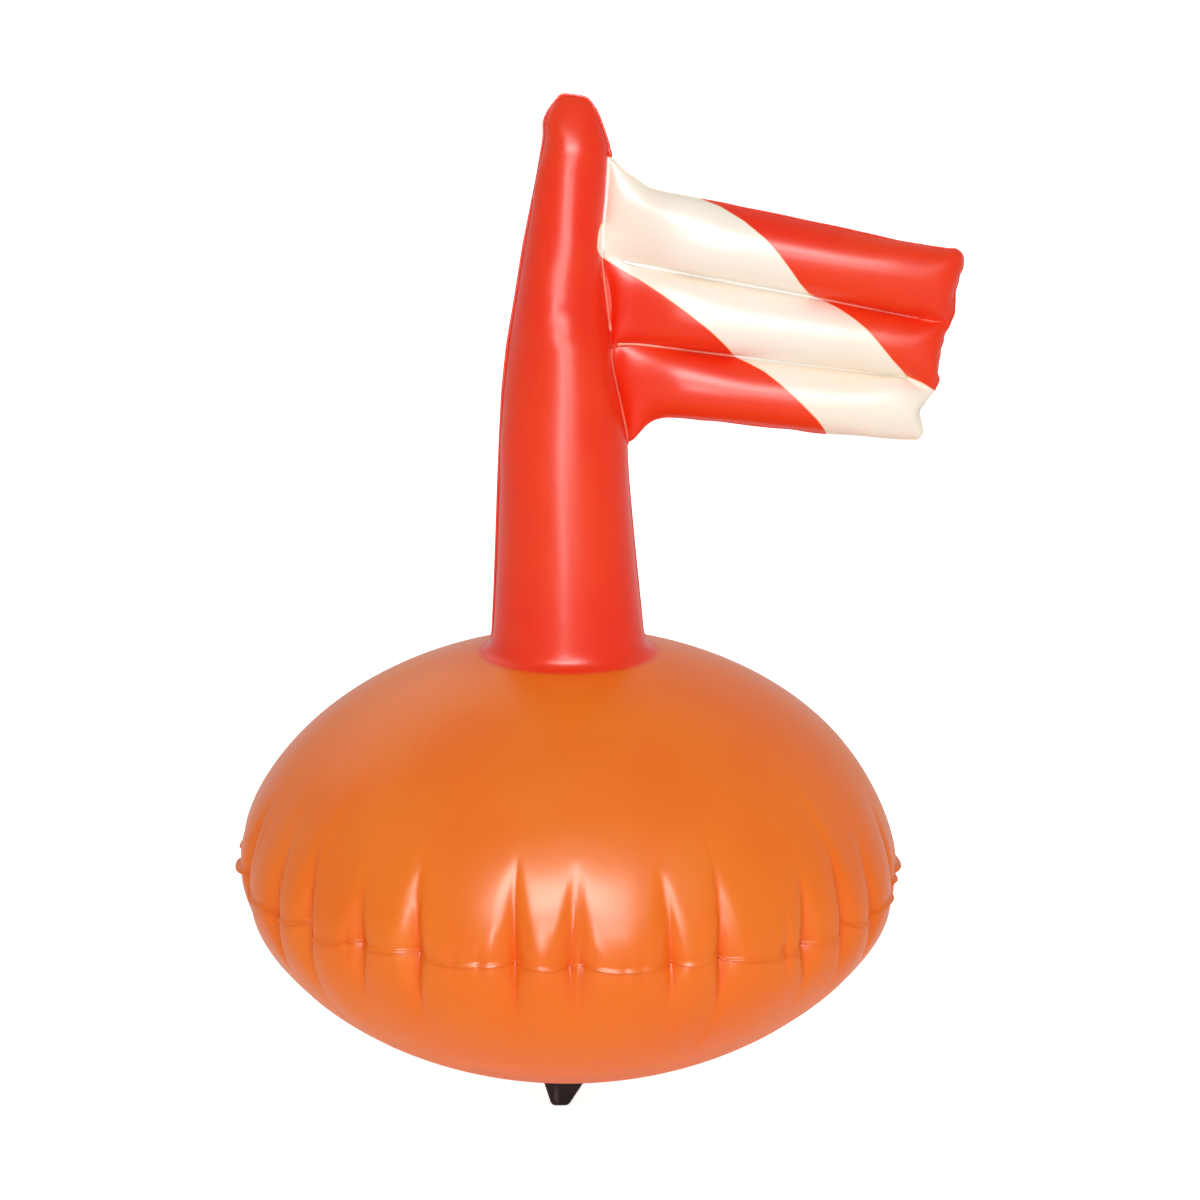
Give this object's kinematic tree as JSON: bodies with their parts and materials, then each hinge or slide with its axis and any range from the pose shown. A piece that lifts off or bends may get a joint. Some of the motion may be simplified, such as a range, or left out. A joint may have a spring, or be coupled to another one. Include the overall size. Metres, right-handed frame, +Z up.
{
  "type": "dive buoy",
  "caption": "Inflatable diver's signal buoy: flattened round float with a puckered seam, inflated mast and channelled flag with a white diagonal stripe, and a line lug below.",
  "frame": {"origin": "on the float's axis, at the middle of the line eye's bore in the lug under the float", "axes": "+Z up the float's axis towards the mast's tip, +X the way the flag flies, -Y the front; upright, as the buoy floats when its line holds it"},
  "size_m": [0.4168, 0.3892, 0.6005],
  "materials": {
    "orange_vinyl": "glossy soft vinyl film",
    "red_vinyl": "glossy soft vinyl film with a printed cream stripe on the flag",
    "valve_vinyl": "semi-gloss soft moulding",
    "black_moulding": "glossy black moulding"
  },
  "bodies": {
    "root": {"float_body": "orange_vinyl", "mast_and_flag": "red_vinyl", "inflation_valve": "valve_vinyl", "line_lug": "black_moulding"}
  },
  "joints": []
}
